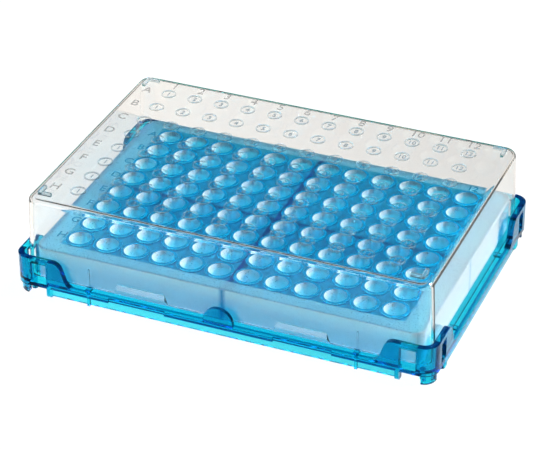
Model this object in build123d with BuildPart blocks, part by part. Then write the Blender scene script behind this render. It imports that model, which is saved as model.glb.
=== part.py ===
from build123d import *
import os

# 96-place tube rack box: open base frame, lift-out tube rack, lift-off clear cover.
# Millimetres. X runs along the columns, Y along the rows, Z is up, z = 0 is the bench.

# The grid of places
columns = 12
rows = 8
pitch = 9.0

# Base frame
base_length = 131.4
base_width = 88.4
base_corner = 4.5
ledge_bottom = 3.4
ledge_top = 4.8
opening_length = 117.0
opening_width = 76.6
opening_corner = 3.0
fence_thickness = 1.9
fence_top = 12.8
fence_steepness = 3.08
fence_end_x = 51.1
fence_end_y = 29.6
fence_round_top = 3.0
fence_round_foot = 3.5

window_top = 11.4
window_inner_x = 55.1
window_outer_x = 60.1
window_inner_y = 34.0
window_outer_y = 38.0

skirt_thickness = 0.9
skirt_face_y = 42.4
skirt_face_x = 64.8
rib_x = 54.6
rib_y = 33.4
rib_thickness = 1.2
rib_round = 1.4

foot_inset = 0.6
foot_thickness = 1.8
foot_leg = 3.6
foot_round = 0.6
peg_x = 61.1
peg_y = 40.4
peg_radius = 0.9

peg_clearance = 0.3

pad_x = 42.0
pad_y = 20.5
pad_thickness = 1.4
pad_top = 5.7
long_pad_place = 42.2
long_pad_depth = 2.4
short_pad_place = 62.9
short_pad_depth = 3.0
stiffener = 0.8

tab_radius = 4.65
tab_thickness = 1.2
tab_top = 10.3

recess_x = 26.0
recess_length = 18.0
recess_depth = 0.7

# Tube rack
rack_length = 121.0
rack_width = 80.6
rack_corner = 3.5
rack_wall = 1.2
rack_edge_radius = 0.5
deck_top = 15.0
deck_thickness = 1.5
partition_thickness = 1.2
well_radius = 3.35
well_wall = 0.6
well_bottom = 6.4
rim_width = 0.8
rim_height = 0.3

# Cover
cover_length = 127.0
cover_width = 84.0
cover_corner = 5.0
cover_draft = 2.45
cover_top = 31.3
cover_wall = 1.0
cover_edge_radius = 1.8

ring_radius = 2.35
ring_line = 0.4
ring_height = 0.25

lug_x = 59.6
lug_y = 37.6
lug_leg = 4.2
lug_line = 0.9
lug_height = 1.0

catch_x = 25.2
catch_foot_length = 17.3
catch_ridge_length = 16.0
catch_head_length = 15.1
catch_bottom = 5.9
catch_ridge = 7.7
catch_top = 9.1
catch_out = 0.9
catch_root = 0.5
line_x = 42.0
line_width = 0.4
line_top = 12.0
line_face_y = 42.1
line_depth = 1.0

os.makedirs("parts", exist_ok=True)


with BuildPart() as base_frame:
    # Flat ledge that carries the rack and the cover, open in the middle
    with BuildSketch(Plane.XY.offset(ledge_bottom)):
        RectangleRounded(base_length, base_width, base_corner)
        RectangleRounded(opening_length, opening_width, opening_corner, mode=Mode.SUBTRACT)
    extrude(amount=ledge_top - ledge_bottom)

    # Upright fence flush with the edge of the ledge
    with BuildSketch(Plane.XY.offset(ledge_top)):
        RectangleRounded(base_length, base_width, base_corner)
        RectangleRounded(
            base_length - 2 * fence_thickness,
            base_width - 2 * fence_thickness,
            base_corner - fence_thickness,
            mode=Mode.SUBTRACT,
        )
    extrude(amount=fence_top - ledge_top)

    # The fence sweeps down to the ledge along the front and back. Each sketch runs a little past
    # the fence's high ends so that only the two shoulders are rounded.
    fence_run = (fence_top - ledge_top) / fence_steepness
    overrun = 4.0
    with BuildSketch(Plane.XZ) as long_dip:
        with BuildLine():
            Polyline(
                (-fence_end_x - overrun, fence_top + overrun),
                (-fence_end_x - overrun, fence_top),
                (-fence_end_x, fence_top),
                (-fence_end_x + fence_run, ledge_top),
                (fence_end_x - fence_run, ledge_top),
                (fence_end_x, fence_top),
                (fence_end_x + overrun, fence_top),
                (fence_end_x + overrun, fence_top + overrun),
                close=True,
            )
        make_face()
        shoulders = long_dip.vertices().group_by(Axis.Y)[1].sort_by(Axis.X)[1:3]
        fillet(shoulders, radius=fence_round_top)
        fillet(long_dip.vertices().group_by(Axis.Y)[0], radius=fence_round_foot)
    extrude(amount=base_width, both=True, mode=Mode.SUBTRACT)

    # ... and along both ends
    with BuildSketch(Plane.YZ) as short_dip:
        with BuildLine():
            Polyline(
                (-fence_end_y - overrun, fence_top + overrun),
                (-fence_end_y - overrun, fence_top),
                (-fence_end_y, fence_top),
                (-fence_end_y + fence_run, ledge_top),
                (fence_end_y - fence_run, ledge_top),
                (fence_end_y, fence_top),
                (fence_end_y + overrun, fence_top),
                (fence_end_y + overrun, fence_top + overrun),
                close=True,
            )
        make_face()
        shoulders = short_dip.vertices().group_by(Axis.Y)[1].sort_by(Axis.X)[1:3]
        fillet(shoulders, radius=fence_round_top)
        fillet(short_dip.vertices().group_by(Axis.Y)[0], radius=fence_round_foot)
    extrude(amount=base_length, both=True, mode=Mode.SUBTRACT)

    # Windows through the fence beside each corner
    window_height = window_top - ledge_top
    window_z = (window_top + ledge_top) / 2
    with BuildSketch(Plane.XZ):
        with Locations(
            ((window_inner_x + window_outer_x) / 2, window_z),
            (-(window_inner_x + window_outer_x) / 2, window_z),
        ):
            Rectangle(window_outer_x - window_inner_x, window_height)
    extrude(amount=base_width, both=True, mode=Mode.SUBTRACT)
    with BuildSketch(Plane.YZ):
        with Locations(
            ((window_inner_y + window_outer_y) / 2, window_z),
            (-(window_inner_y + window_outer_y) / 2, window_z),
        ):
            Rectangle(window_outer_y - window_inner_y, window_height)
    extrude(amount=base_length, both=True, mode=Mode.SUBTRACT)

    # Straight skirt walls under the ledge
    with BuildSketch(Plane.XY):
        with Locations(
            (0, skirt_face_y - skirt_thickness / 2),
            (0, -skirt_face_y + skirt_thickness / 2),
        ):
            Rectangle(2 * rib_x, skirt_thickness)
        with Locations(
            (skirt_face_x - skirt_thickness / 2, 0),
            (-skirt_face_x + skirt_thickness / 2, 0),
        ):
            Rectangle(skirt_thickness, 2 * rib_y)
    extrude(amount=ledge_bottom)

    # Upright ribs that end the skirt walls, rounded at the bench
    rib_depth_y = base_width / 2 - skirt_face_y + skirt_thickness
    rib_depth_x = base_length / 2 - skirt_face_x + skirt_thickness
    with BuildSketch(Plane.YZ.offset(rib_x)) as long_ribs:
        with Locations((0, ledge_bottom / 2)):
            with GridLocations(base_width - rib_depth_y, 0, 2, 1):
                Rectangle(rib_depth_y, ledge_bottom)
        low = long_ribs.vertices().group_by(Axis.Y)[0].sort_by(Axis.X)
        fillet([low[0], low[-1]], radius=rib_round)
    right_ribs = extrude(amount=rib_thickness / 2, both=True)
    mirror(right_ribs, about=Plane.YZ)
    with BuildSketch(Plane.XZ.offset(rib_y)) as short_ribs:
        with Locations((0, ledge_bottom / 2)):
            with GridLocations(base_length - rib_depth_x, 0, 2, 1):
                Rectangle(rib_depth_x, ledge_bottom)
        low = short_ribs.vertices().group_by(Axis.Y)[0].sort_by(Axis.X)
        fillet([low[0], low[-1]], radius=rib_round)
    front_ribs = extrude(amount=rib_thickness / 2, both=True)
    mirror(front_ribs, about=Plane.XZ)

    # Curved corner feet with a small locating peg inside each
    with BuildSketch(Plane.XY):
        RectangleRounded(
            base_length - 2 * foot_inset,
            base_width - 2 * foot_inset,
            base_corner - foot_inset,
        )
        RectangleRounded(
            base_length - 2 * foot_inset - 2 * foot_thickness,
            base_width - 2 * foot_inset - 2 * foot_thickness,
            base_corner - foot_inset - foot_thickness,
            mode=Mode.SUBTRACT,
        )
        Rectangle(base_length, base_width - 2 * foot_inset - 2 * foot_leg, mode=Mode.SUBTRACT)
        Rectangle(base_length - 2 * foot_inset - 2 * foot_leg, base_width, mode=Mode.SUBTRACT)
    extrude(amount=ledge_bottom)
    soles = base_frame.faces().filter_by(Axis.Z).group_by(Axis.Z)[0]
    foot_soles = soles.sort_by(lambda sole: sole.center().length)[-4:]
    fillet(foot_soles.edges(), radius=foot_round)
    with BuildSketch(Plane.XY.offset(peg_clearance)):
        with GridLocations(2 * peg_x, 2 * peg_y, 2, 2):
            Circle(peg_radius)
    extrude(amount=ledge_bottom - peg_clearance)

    # Short pads across the ledge that the cover stands on
    with BuildSketch(Plane.XY.offset(ledge_top)):
        with GridLocations(2 * pad_x, 2 * long_pad_place, 2, 2):
            Rectangle(pad_thickness, long_pad_depth)
        with GridLocations(2 * short_pad_place, 2 * pad_y, 2, 2):
            Rectangle(short_pad_depth, pad_thickness)
    extrude(amount=pad_top - ledge_top)

    # Skirt stiffeners below the long-side pads
    with BuildSketch(Plane.XY):
        with GridLocations(2 * pad_x, 2 * skirt_face_y, 2, 2):
            Rectangle(stiffener, 2 * stiffener)
    extrude(amount=ledge_bottom)

    # Half-round tab in the middle of the front and back
    with BuildSketch(Plane.XZ.offset(base_width / 2 - tab_thickness)):
        with Locations((0, tab_top - tab_radius)):
            Circle(tab_radius)
        with Locations((0, (ledge_bottom + tab_top - tab_radius) / 2)):
            Rectangle(2 * tab_radius, tab_top - tab_radius - ledge_bottom)
        with Locations((0, ledge_bottom - 5)):
            Rectangle(4 * tab_radius, 10, mode=Mode.SUBTRACT)
    half_tab = extrude(amount=tab_thickness, mode=Mode.PRIVATE)
    add(half_tab)
    mirror(half_tab, about=Plane.XZ)

    # Shallow finger recesses in the edge of the ledge, below the cover's catches
    with BuildSketch(Plane.XY.offset(ledge_bottom)):
        with GridLocations(2 * recess_x, base_width, 2, 2):
            Rectangle(recess_length, 2 * recess_depth)
    extrude(amount=ledge_top - ledge_bottom, mode=Mode.SUBTRACT)

base_frame.part.label = "base_frame"
export_step(base_frame.part, "parts/base_frame.step")


with BuildPart() as tube_rack:
    # Open-bottomed tray with a flat deck
    with BuildSketch(Plane.XY.offset(ledge_top)):
        RectangleRounded(rack_length, rack_width, rack_corner)
    extrude(amount=deck_top - ledge_top)
    fillet(tube_rack.faces().sort_by(Axis.Z)[-1].edges(), radius=rack_edge_radius)
    with BuildSketch(Plane.XY.offset(ledge_top)):
        RectangleRounded(
            rack_length - 2 * rack_wall,
            rack_width - 2 * rack_wall,
            rack_corner - rack_wall,
        )
    extrude(amount=deck_top - deck_thickness - ledge_top, mode=Mode.SUBTRACT)

    # Two cross walls under the deck, one each way through the middle
    with BuildSketch(Plane.XY.offset(ledge_top)):
        Rectangle(partition_thickness, rack_width - rack_wall)
        Rectangle(rack_length - rack_wall, partition_thickness)
    extrude(amount=deck_top - deck_thickness - ledge_top)

    # Open sleeves hanging from the deck, with a low rim round each mouth
    with BuildSketch(Plane.XY.offset(well_bottom)):
        with GridLocations(pitch, pitch, columns, rows):
            Circle(well_radius + well_wall)
    extrude(amount=deck_top - well_bottom)
    with BuildSketch(Plane.XY.offset(deck_top)):
        with GridLocations(pitch, pitch, columns, rows):
            Circle(well_radius + rim_width)
    extrude(amount=rim_height)
    with BuildSketch(Plane.XY.offset(well_bottom)):
        with GridLocations(pitch, pitch, columns, rows):
            Circle(well_radius)
    extrude(amount=deck_top + rim_height - well_bottom, mode=Mode.SUBTRACT)

tube_rack.part.label = "tube_rack"
export_step(tube_rack.part, "parts/tube_rack.step")


with BuildPart() as cover:
    # Thin drafted box, open below
    with BuildSketch(Plane.XY.offset(pad_top)):
        RectangleRounded(cover_length, cover_width, cover_corner)
    extrude(amount=cover_top - pad_top, taper=cover_draft)
    fillet(cover.faces().sort_by(Axis.Z)[-1].edges(), radius=cover_edge_radius)
    offset(amount=-cover_wall, openings=cover.faces().sort_by(Axis.Z)[0])

    # Raised ring above each place
    with BuildSketch(Plane.XY.offset(cover_top)):
        with GridLocations(pitch, pitch, columns, rows):
            Circle(ring_radius)
            Circle(ring_radius - ring_line, mode=Mode.SUBTRACT)
    extrude(amount=ring_height)

    # Corner lugs that locate a second box stacked on top
    with BuildSketch(Plane.XY.offset(cover_top)):
        Rectangle(2 * lug_x, 2 * lug_y)
        Rectangle(2 * lug_x - 2 * lug_line, 2 * lug_y - 2 * lug_line, mode=Mode.SUBTRACT)
        Rectangle(2 * lug_x, 2 * lug_y - 2 * lug_leg, mode=Mode.SUBTRACT)
        Rectangle(2 * lug_x - 2 * lug_leg, 2 * lug_y, mode=Mode.SUBTRACT)
    extrude(amount=lug_height)

    # Wedge catches low on the front and back
    wall_y = cover_width / 2
    with BuildSketch(Plane.XY.offset(catch_bottom)):
        with Locations((catch_x, -wall_y + catch_root / 2)):
            Rectangle(catch_foot_length, catch_root)
    with BuildSketch(Plane.XY.offset(catch_ridge)):
        with Locations((catch_x, -wall_y + (catch_root - catch_out) / 2)):
            Rectangle(catch_ridge_length, catch_root + catch_out)
    with BuildSketch(Plane.XY.offset(catch_top)):
        with Locations((catch_x, -wall_y + catch_root / 2)):
            Rectangle(catch_head_length, catch_root)
    front_right_catch = loft(ruled=True, mode=Mode.PRIVATE)
    add(front_right_catch)
    front_left_catch = mirror(front_right_catch, about=Plane.YZ)
    mirror(front_right_catch, about=Plane.XZ)
    mirror(front_left_catch, about=Plane.XZ)

    # Fine upright lines low on the front and back, in line with the pads
    with BuildSketch(Plane.XY.offset(pad_top)):
        with GridLocations(2 * line_x, 2 * line_face_y - line_depth, 2, 2):
            Rectangle(line_width, line_depth)
    extrude(amount=line_top - pad_top)

cover.part.label = "cover"
export_step(cover.part, "parts/cover.step")
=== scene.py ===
import math

import bmesh
import bpy
from mathutils import Matrix, Vector


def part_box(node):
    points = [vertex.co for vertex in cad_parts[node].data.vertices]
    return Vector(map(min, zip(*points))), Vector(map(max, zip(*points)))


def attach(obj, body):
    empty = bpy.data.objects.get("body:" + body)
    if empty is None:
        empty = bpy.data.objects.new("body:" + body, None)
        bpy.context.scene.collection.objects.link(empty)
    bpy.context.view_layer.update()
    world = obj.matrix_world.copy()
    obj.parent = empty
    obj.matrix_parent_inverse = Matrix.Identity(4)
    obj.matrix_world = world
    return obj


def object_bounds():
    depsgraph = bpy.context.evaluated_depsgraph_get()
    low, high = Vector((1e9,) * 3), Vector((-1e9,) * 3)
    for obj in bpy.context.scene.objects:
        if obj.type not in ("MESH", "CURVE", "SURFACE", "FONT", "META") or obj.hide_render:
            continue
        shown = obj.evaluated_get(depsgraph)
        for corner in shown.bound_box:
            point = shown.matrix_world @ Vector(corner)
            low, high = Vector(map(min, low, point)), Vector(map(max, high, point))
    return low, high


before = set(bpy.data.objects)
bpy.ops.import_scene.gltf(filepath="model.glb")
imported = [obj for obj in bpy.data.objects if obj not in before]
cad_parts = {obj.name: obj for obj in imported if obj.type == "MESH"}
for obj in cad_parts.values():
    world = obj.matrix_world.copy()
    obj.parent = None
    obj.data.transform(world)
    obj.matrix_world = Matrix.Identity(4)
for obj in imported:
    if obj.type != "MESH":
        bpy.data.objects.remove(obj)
cad_lo, cad_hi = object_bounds()
scene = bpy.context.scene
MM = 0.001

# ---------------------------------------------------------------- places read from the frame
pitch = 9.0 * MM
columns = 12
rows = 8
rack_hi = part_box("tube_rack")[1]
cover_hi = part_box("cover")[1]
rim_height = 0.3 * MM
lug_height = 1.0 * MM
deck_top = rack_hi.z - rim_height
cover_plate = cover_hi.z - lug_height
surface_gap = 0.05 * MM
mark_half_depth = 0.05 * MM


# ---------------------------------------------------------------- node helpers
class Nodes:
    """Small helper round a material's node tree."""

    def __init__(self, name):
        self.material = bpy.data.materials.new(name)
        self.material.use_nodes = True
        self.tree = self.material.node_tree
        self.tree.nodes.clear()
        self.output = self.tree.nodes.new("ShaderNodeOutputMaterial")

    def add(self, kind, **settings):
        """A new node; a setting is an attribute of the node or else the value of an input."""
        node = self.tree.nodes.new(kind)
        for key, value in settings.items():
            if hasattr(node, key):
                setattr(node, key, value)
            else:
                node.inputs[key.replace("_", " ")].default_value = value
        return node

    def link(self, source, target):
        self.tree.links.new(source, target)

    def maths(self, operation, first, second=None):
        """A maths node whose inputs are sockets or plain numbers; gives back its output."""
        node = self.add("ShaderNodeMath", operation=operation)
        for slot, value in enumerate((first, second)):
            if isinstance(value, (int, float)):
                node.inputs[slot].default_value = value
            elif value is not None:
                self.link(value, node.inputs[slot])
        return node.outputs["Value"]

    def ramp(self, value, to_min, to_max, from_min=0.0, from_max=1.0):
        """Maps a value from one range to another and clamps it; gives back its output."""
        node = self.add("ShaderNodeMapRange")
        node.inputs["From Min"].default_value = from_min
        node.inputs["From Max"].default_value = from_max
        node.inputs["To Min"].default_value = to_min
        node.inputs["To Max"].default_value = to_max
        self.link(value, node.inputs["Value"])
        return node.outputs["Result"]

    def blend(self, share, colour_socket, colour):
        """Mixes a plain colour into a colour socket by a share; gives back its output."""
        node = self.add("ShaderNodeMix", data_type="RGBA")
        self.link(share, node.inputs["Factor"])
        if isinstance(colour_socket, tuple):
            node.inputs["A"].default_value = (*colour_socket, 1)
        else:
            self.link(colour_socket, node.inputs["A"])
        node.inputs["B"].default_value = (*colour, 1)
        return node.outputs["Result"]

    def noise(self, scale, detail):
        """Noise over the object's own coordinates, which are the frame's."""
        place = self.add("ShaderNodeTexCoord")
        node = self.add("ShaderNodeTexNoise", Scale=scale, Detail=detail)
        self.link(place.outputs["Object"], node.inputs["Vector"])
        return node.outputs["Fac"]

    def place(self):
        """X, Y and Z of the shaded point in the frame."""
        coordinates = self.add("ShaderNodeTexCoord")
        split = self.add("ShaderNodeSeparateXYZ")
        self.link(coordinates.outputs["Object"], split.inputs["Vector"])
        return split.outputs


# ---------------------------------------------------------------- materials
def moulded_plastic(name, tint, density, skin_colour, haze, roughness, ripple, gleam, shadow_tint):
    """Translucent moulded plastic: coloured through its thickness, with a thin hazy skin and faint
    flow ripples. The haze, glow_share and skin sockets of the helper can be driven by masks."""
    n = Nodes(name)
    bump = n.add("ShaderNodeBump", Strength=ripple, Distance=0.0004)
    n.link(n.noise(90.0, 2.0), bump.inputs["Height"])

    body = n.add("ShaderNodeBsdfPrincipled")
    body.inputs["Base Color"].default_value = (1, 1, 1, 1)
    body.inputs["IOR"].default_value = 1.49
    body.inputs["Transmission Weight"].default_value = 1.0
    body.inputs["Specular Tint"].default_value = (*gleam, 1)
    n.link(n.ramp(n.noise(2600.0, 3.0), roughness * 0.75, roughness * 1.35), body.inputs["Roughness"])
    n.link(bump.outputs["Normal"], body.inputs["Normal"])

    # The skin scatters a little light back, and lets a little through
    back = n.add("ShaderNodeBsdfDiffuse")
    through = n.add("ShaderNodeBsdfTranslucent")
    n.skin_colour = n.add("ShaderNodeRGB").outputs["Color"]
    n.skin_colour.default_value = (*skin_colour, 1)
    n.skin_inputs = (back.inputs["Color"], through.inputs["Color"])
    for target in n.skin_inputs:
        n.link(n.skin_colour, target)
    skin = n.add("ShaderNodeMixShader")
    n.glow_share = skin.inputs["Fac"]
    n.glow_share.default_value = 0.5
    n.link(back.outputs["BSDF"], skin.inputs[1])
    n.link(through.outputs["BSDF"], skin.inputs[2])

    surface = n.add("ShaderNodeMixShader")
    n.haze = surface.inputs["Fac"]
    n.haze.default_value = haze
    n.link(body.outputs["BSDF"], surface.inputs[1])
    n.link(skin.outputs["Shader"], surface.inputs[2])

    # Shadow rays pass with a plain tint, so that light reaches the inside
    path = n.add("ShaderNodeLightPath")
    veil = n.add("ShaderNodeBsdfTransparent")
    veil.inputs["Color"].default_value = (*shadow_tint, 1)
    final = n.add("ShaderNodeMixShader")
    n.link(path.outputs["Is Shadow Ray"], final.inputs["Fac"])
    n.link(surface.outputs["Shader"], final.inputs[1])
    n.link(veil.outputs["BSDF"], final.inputs[2])
    n.link(final.outputs["Shader"], n.output.inputs["Surface"])

    soak = n.add("ShaderNodeVolumeAbsorption")
    soak.inputs["Color"].default_value = (*tint, 1)
    soak.inputs["Density"].default_value = density
    n.link(soak.outputs["Volume"], n.output.inputs["Volume"])
    return n


def weigh(n, *pairs):
    """Sum of masks times their weights."""
    total = None
    for mask, weight in pairs:
        share = n.maths("MULTIPLY", mask, weight)
        total = share if total is None else n.maths("ADD", total, share)
    return total


def beyond(n, axis_value, limit):
    """1 where a coordinate is further from the centre than the limit."""
    return n.maths("GREATER_THAN", n.maths("ABSOLUTE", axis_value), limit)


def short_of(n, axis_value, limit):
    """1 where a coordinate is nearer to the centre than the limit."""
    return n.maths("LESS_THAN", n.maths("ABSOLUTE", axis_value), limit)


def rack_surface(n):
    """Haze and skin colour of each face of the rack, by where it is and which way it faces."""
    bore_reach = 3.5 * MM
    rim_reach = 4.3 * MM
    wall_band = 1.6 * MM
    deck_band = 0.6 * MM
    cross_wall_shade_reach = 1.3 * MM
    cells_below_zero = 40.0

    at = n.place()
    shape = n.add("ShaderNodeNewGeometry")
    facing = n.add("ShaderNodeSeparateXYZ")
    n.link(shape.outputs["True Normal"], facing.inputs["Vector"])

    # Distance from the axis of the nearest well
    squares = []
    for axis in ("X", "Y"):
        cell = n.maths("ADD", n.maths("DIVIDE", at[axis], pitch), cells_below_zero)
        local = n.maths("SUBTRACT", n.maths("FRACT", cell), 0.5)
        offset = n.maths("MULTIPLY", local, pitch)
        squares.append(n.maths("MULTIPLY", offset, offset))
    radius = n.maths("SQRT", n.maths("ADD", *squares))

    # Upright faces: outer walls, the ends among them, bores and the hidden rest
    upright = n.maths("LESS_THAN", n.maths("ABSOLUTE", facing.outputs["Z"]), 0.5)
    beyond_x = beyond(n, at["X"], rack_hi.x - wall_band)
    beyond_y = beyond(n, at["Y"], rack_hi.y - wall_band)
    outer = n.maths("MULTIPLY", n.maths("MAXIMUM", beyond_x, beyond_y), upright)
    # Painted shade: the end walls get a greyer, darker skin than the other outer walls, as if out of
    # the side light
    painted_shade_end_wall = n.maths("MULTIPLY", beyond_x, upright)
    within = n.maths("SUBTRACT", upright, outer)
    bore = n.maths("MULTIPLY", n.maths("LESS_THAN", radius, bore_reach), within)
    inner = n.maths("SUBTRACT", within, bore)

    # Painted highlight: the side of a bore that is turned to +X gets extra haze and shows whiter,
    # standing in for the side light's glare there
    turned = n.maths("MAXIMUM", facing.outputs["X"], 0.0)
    painted_highlight_bore = n.maths("MULTIPLY", bore, turned)

    # Painted shade: soft dark lines are painted on the outer walls where the cross walls stand behind
    # them
    lines = []
    for axis in ("X", "Y"):
        away = n.maths("DIVIDE", n.maths("ABSOLUTE", at[axis]), cross_wall_shade_reach)
        lines.append(n.maths("MAXIMUM", n.maths("SUBTRACT", 1.0, away), 0.0))
    painted_cross_wall_shade = n.maths("MULTIPLY", outer, n.maths("MAXIMUM", *lines))

    # Level faces: the rims of the wells, and the deck's margin outside the grid
    level = n.maths("SUBTRACT", 1.0, upright)
    grid = n.maths(
        "MULTIPLY", short_of(n, at["X"], columns / 2 * pitch), short_of(n, at["Y"], rows / 2 * pitch))
    top = n.maths("GREATER_THAN", at["Z"], deck_top - surface_gap)
    ring = n.maths("LESS_THAN", radius, rim_reach)
    rim = n.maths("MULTIPLY", n.maths("MULTIPLY", n.maths("MULTIPLY", top, ring), level), grid)
    upper = n.maths("GREATER_THAN", at["Z"], deck_top - deck_band)
    off_grid = n.maths("SUBTRACT", 1.0, grid)
    margin = n.maths("MULTIPLY", n.maths("MULTIPLY", off_grid, level), upper)

    # Haze counts only where light comes from the air; the extra bore haze on the side turned to +X is
    # painted highlight
    haze_sum = weigh(
        n, (bore, 0.16), (painted_highlight_bore, 0.36), (outer, 0.85), (inner, 0.03), (rim, 0.9), (margin, 0.4))
    from_air = n.maths("SUBTRACT", 1.0, shape.outputs["Backfacing"])
    n.link(n.maths("MULTIPLY", haze_sum, from_air), n.haze)
    n.link(weigh(n, (outer, 0.5), (inner, 0.5), (margin, 0.5)), n.glow_share)

    paint = n.skin_colour
    for mask, colour in (
        (outer, (0.85, 0.97, 1.0)),
        # painted shade: greyer, darker skin on the end walls
        (painted_shade_end_wall, (0.5, 0.68, 0.76)),
        # painted shade: dark lines on the outer walls over the cross walls
        (painted_cross_wall_shade, (0.02, 0.35, 0.6)),
        (inner, (0.0, 0.5, 0.75)),
        (bore, (0.75, 0.92, 0.97)),
        (rim, (0.0, 0.18, 0.38)),
        (margin, (0.35, 0.75, 0.88)),
    ):
        paint = n.blend(mask, paint, colour)
    for target in n.skin_inputs:
        n.link(paint, target)


def cover_surface(n, clear_haze, raised_haze):
    """The raised rings and lugs on the cover are lightly frosted, and the rest is clear."""
    raised = n.maths("GREATER_THAN", n.place()["Z"], cover_plate + 0.1 * MM)
    n.link(n.maths("ADD", n.maths("MULTIPLY", raised, raised_haze), clear_haze), n.haze)


def raised_mark(name, colour, roughness, strength):
    """Raised lettering: the same plastic, seen a little darker."""
    n = Nodes(name)
    face = n.add("ShaderNodeBsdfPrincipled")
    face.inputs["Base Color"].default_value = (*colour, 1)
    n.link(n.ramp(n.noise(1800.0, 2.0), roughness * 0.8, roughness * 1.2), face.inputs["Roughness"])
    clear = n.add("ShaderNodeBsdfTransparent")
    mix = n.add("ShaderNodeMixShader")
    mix.inputs["Fac"].default_value = strength
    n.link(clear.outputs["BSDF"], mix.inputs[1])
    n.link(face.outputs["BSDF"], mix.inputs[2])
    n.link(mix.outputs["Shader"], n.output.inputs["Surface"])
    return n.material


base_plastic = moulded_plastic(
    "base_plastic", tint=(0.0, 0.9, 0.95), density=2500.0, skin_colour=(0.0, 0.5, 0.75), haze=0.02,
    roughness=0.06, ripple=0.05, gleam=(0.1, 0.7, 0.9), shadow_tint=(0.5, 0.8, 0.92))
rack_plastic = moulded_plastic(
    "rack_plastic", tint=(0.0, 0.905, 0.9525), density=2300.0, skin_colour=(0.66, 0.84, 0.9), haze=0.05,
    roughness=0.28, ripple=0.04, gleam=(0.2, 0.8, 0.9), shadow_tint=(0.7, 0.9, 0.96))
cover_plastic = moulded_plastic(
    "cover_plastic", tint=(0.93, 0.89, 0.83), density=230.0, skin_colour=(0.3, 0.52, 0.62), haze=0.003,
    roughness=0.015, ripple=0.012, gleam=(1.0, 1.0, 1.0), shadow_tint=(0.95, 0.94, 0.93))
rack_surface(rack_plastic)
cover_surface(cover_plastic, clear_haze=0.003, raised_haze=0.27)

cover_mark = raised_mark("cover_mark", (0.3, 0.31, 0.31), 0.4, 0.42)
ring_mark = raised_mark("ring_mark", (0.22, 0.32, 0.38), 0.4, 0.65)
deck_mark = raised_mark("deck_mark", (0.0, 0.22, 0.4), 0.35, 0.75)

for node, plastic in (
    ("base_frame", base_plastic),
    ("tube_rack", rack_plastic),
    ("cover", cover_plastic),
):
    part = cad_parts[node]
    part.data.materials.clear()
    part.data.materials.append(plastic.material)


# ---------------------------------------------------------------- raised marks
def glyph_mesh(text, size):
    """Outline of a short text, centred on the origin, as a mesh with a little depth."""
    curve = bpy.data.curves.new("glyph", "FONT")
    curve.body = text
    curve.size = size
    curve.align_x = "CENTER"
    curve.align_y = "CENTER"
    curve.extrude = mark_half_depth
    curve.resolution_u = 3
    holder = bpy.data.objects.new("glyph", curve)
    scene.collection.objects.link(holder)
    bpy.context.view_layer.update()
    mesh = bpy.data.meshes.new_from_object(
        holder.evaluated_get(bpy.context.evaluated_depsgraph_get()))
    bpy.data.objects.remove(holder)
    bpy.data.curves.remove(curve)
    return mesh


def mark_sheet(name, marks, material, body):
    """One piece that holds many small marks; each is (text, size, x, y, z)."""
    gather = bmesh.new()
    cache = {}
    for text, size, x, y, z in marks:
        key = (text, size)
        if key not in cache:
            cache[key] = glyph_mesh(text, size)
        copy = cache[key].copy()
        copy.transform(Matrix.Translation((x, y, z)))
        gather.from_mesh(copy)
        bpy.data.meshes.remove(copy)
    mesh = bpy.data.meshes.new(name)
    gather.to_mesh(mesh)
    gather.free()
    piece = bpy.data.objects.new(name, mesh)
    scene.collection.objects.link(piece)
    mesh.materials.append(material)
    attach(piece, body)


letters = "ABCDEFGH"
column_x = [(c - (columns - 1) / 2) * pitch for c in range(columns)]
row_y = [((rows - 1) / 2 - r) * pitch for r in range(rows)]
mark_lift = 0.06 * MM

# On the cover: a number over each column, a letter beside each row, a number in each ring
cover_mark_size = 4.6 * MM
ring_mark_size = 2.7 * MM
cover_z = cover_plate + mark_lift
cover_number_y = cover_hi.y - 6.2 * MM
cover_letter_x = -(cover_hi.x - 6.6 * MM)
cover_marks = []
ring_marks = []
for c, x in enumerate(column_x):
    number = str(c + 1)
    cover_marks.append((number, cover_mark_size, x, cover_number_y, cover_z))
    for y in row_y:
        ring_marks.append((number, ring_mark_size, x, y, cover_z))
for letter, y in zip(letters, row_y):
    cover_marks.append((letter, cover_mark_size, cover_letter_x, y, cover_z))
mark_sheet("cover_marks", cover_marks, cover_mark, "cover")
mark_sheet("ring_marks", ring_marks, ring_mark, "cover")

# On the deck: the same letters and numbers, smaller
deck_letter_size = 4.2 * MM
deck_number_size = 3.6 * MM
deck_z = deck_top + mark_lift
deck_number_y = rack_hi.y - 2.7 * MM
deck_letter_x = -(rack_hi.x - 5.0 * MM)
deck_marks = []
for letter, y in zip(letters, row_y):
    deck_marks.append((letter, deck_letter_size, deck_letter_x, y, deck_z))
for c, x in enumerate(column_x):
    deck_marks.append((str(c + 1), deck_number_size, x, deck_number_y, deck_z))
mark_sheet("deck_marks", deck_marks, deck_mark, "rack")


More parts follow.
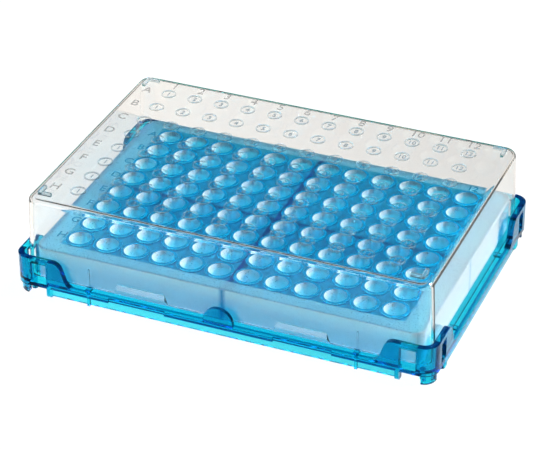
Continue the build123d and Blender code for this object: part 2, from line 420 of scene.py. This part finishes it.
# ---------------------------------------------------------------- stage
def floor_material():
    """Bright bench: plain white to the camera, and shaded where the plastic mirrors or refracts it."""
    n = Nodes("floor_white")
    at = n.place()
    path = n.add("ShaderNodeLightPath")

    # Dimmer towards the right
    fall = n.ramp(at["X"], 1.1, 0.8, cad_lo.x, cad_hi.x)

    # Under the box the bench only gets light that has come down through the blue plastic
    reach = n.maths(
        "MAXIMUM",
        n.maths("DIVIDE", n.maths("ABSOLUTE", at["X"]), rack_hi.x),
        n.maths("DIVIDE", n.maths("ABSOLUTE", at["Y"]), rack_hi.y))
    under = n.ramp(reach, 1.0, 0.0, 0.8, 1.0)
    bench = n.blend(under, (1.0, 0.98, 0.95), (0.02, 0.6, 0.84))

    # In front of the box the bench is dimmer as the plastic mirrors it
    front_strip = 6.0 * MM
    before = n.ramp(at["Y"], 0.8, 0.0, cad_lo.y - front_strip, cad_lo.y)
    beside = n.maths("LESS_THAN", at["X"], cad_hi.x)
    sharp = n.maths("SUBTRACT", 1.0, path.outputs["Is Diffuse Ray"])
    drop = n.maths("MULTIPLY", n.maths("MULTIPLY", before, beside), sharp)
    strength = n.maths("MULTIPLY", fall, n.maths("SUBTRACT", 1.0, drop))

    level = n.add("ShaderNodeMix")
    n.link(path.outputs["Is Camera Ray"], level.inputs["Factor"])
    n.link(strength, level.inputs["A"])
    level.inputs["B"].default_value = 0.98

    matt = n.add("ShaderNodeBsdfDiffuse")
    matt.inputs["Color"].default_value = (0.1, 0.1, 0.1, 1)
    shine = n.add("ShaderNodeEmission")
    n.link(n.blend(path.outputs["Is Camera Ray"], bench, (1, 1, 1)), shine.inputs["Color"])
    n.link(level.outputs["Result"], shine.inputs["Strength"])
    total = n.add("ShaderNodeAddShader")
    n.link(matt.outputs["BSDF"], total.inputs[0])
    n.link(shine.outputs["Emission"], total.inputs[1])
    n.link(total.outputs["Shader"], n.output.inputs["Surface"])
    return n.material


def add_floor():
    """Wide floor just under the feet, so that the two don't share a plane."""
    reach = 6.0
    mesh = bpy.data.meshes.new("floor")
    corners = [(-reach, -reach, 0), (reach, -reach, 0), (reach, reach, 0), (-reach, reach, 0)]
    mesh.from_pydata(corners, [], [(0, 1, 2, 3)])
    mesh.materials.append(floor_material())
    floor = bpy.data.objects.new("floor", mesh)
    floor.location.z = -0.2 * MM
    scene.collection.objects.link(floor)


def add_room():
    """Dim room above the bright floor, paler to the left."""
    world = bpy.data.worlds.new("studio")
    scene.world = world
    world.use_nodes = True
    sky = world.node_tree
    direction = sky.nodes.new("ShaderNodeTexCoord")
    split = sky.nodes.new("ShaderNodeSeparateXYZ")
    shade = sky.nodes.new("ShaderNodeMapRange")
    shade.inputs["From Min"].default_value = -1.0
    shade.inputs["From Max"].default_value = 1.0
    shade.inputs["To Min"].default_value = 0.04
    shade.inputs["To Max"].default_value = 0.02
    sky.links.new(direction.outputs["Generated"], split.inputs["Vector"])
    sky.links.new(split.outputs["X"], shade.inputs["Value"])
    sky.links.new(shade.outputs["Result"], sky.nodes["Background"].inputs["Strength"])
    sky.nodes["Background"].inputs["Color"].default_value = (0.95, 0.97, 1.0, 1)


def direction_to(azimuth, elevation):
    """Unit vector from the object; azimuth 0 is in front (-Y), 90 degrees is +X."""
    a = math.radians(azimuth)
    e = math.radians(elevation)
    return Vector((math.sin(a) * math.cos(e), -math.cos(a) * math.cos(e), math.sin(e)))


def softbox(name, azimuth, elevation, distance, width, height, power):
    """Rectangular light aimed at the object."""
    light = bpy.data.lights.new(name, "AREA")
    light.shape = "RECTANGLE"
    light.size = width
    light.size_y = height
    light.energy = power
    lamp = bpy.data.objects.new(name, light)
    scene.collection.objects.link(lamp)
    away = direction_to(azimuth, elevation)
    lamp.location = away * distance
    lamp.rotation_mode = "QUATERNION"
    lamp.rotation_quaternion = away.to_track_quat("Z", "Y")


def add_camera(azimuth, elevation, roll, focal_length, location):
    """Camera that looks along the given direction, turned about it by the roll."""
    data = bpy.data.cameras.new("camera")
    data.lens = focal_length
    data.sensor_width = 36.0
    data.clip_start = 0.02
    data.clip_end = 30.0
    camera = bpy.data.objects.new("camera", data)
    scene.collection.objects.link(camera)
    a = math.radians(azimuth)
    turn = math.radians(roll)
    right = Vector((math.cos(a), math.sin(a), 0))
    back = direction_to(azimuth, elevation)
    up = back.cross(right)
    turned_right = math.cos(turn) * right + math.sin(turn) * up
    turned_up = -math.sin(turn) * right + math.cos(turn) * up
    camera.rotation_mode = "QUATERNION"
    camera.rotation_quaternion = Matrix((turned_right, turned_up, back)).transposed().to_quaternion()
    camera.location = location
    scene.camera = camera


add_floor()
add_room()
softbox("side_light", azimuth=113, elevation=35, distance=1.2, width=0.35, height=0.35, power=24.0)
softbox("front_light", azimuth=-20, elevation=20, distance=1.3, width=0.6, height=0.4, power=3.0)
add_camera(
    azimuth=22.85, elevation=32.25, roll=-0.43, focal_length=149.0,
    location=(218.8 * MM, -524.0 * MM, 371.2 * MM))

# Clear plastic needs deep light paths
scene.view_settings.view_transform = "Standard"
scene.cycles.max_bounces = 32
scene.cycles.glossy_bounces = 16
scene.cycles.transmission_bounces = 24
scene.cycles.transparent_max_bounces = 32
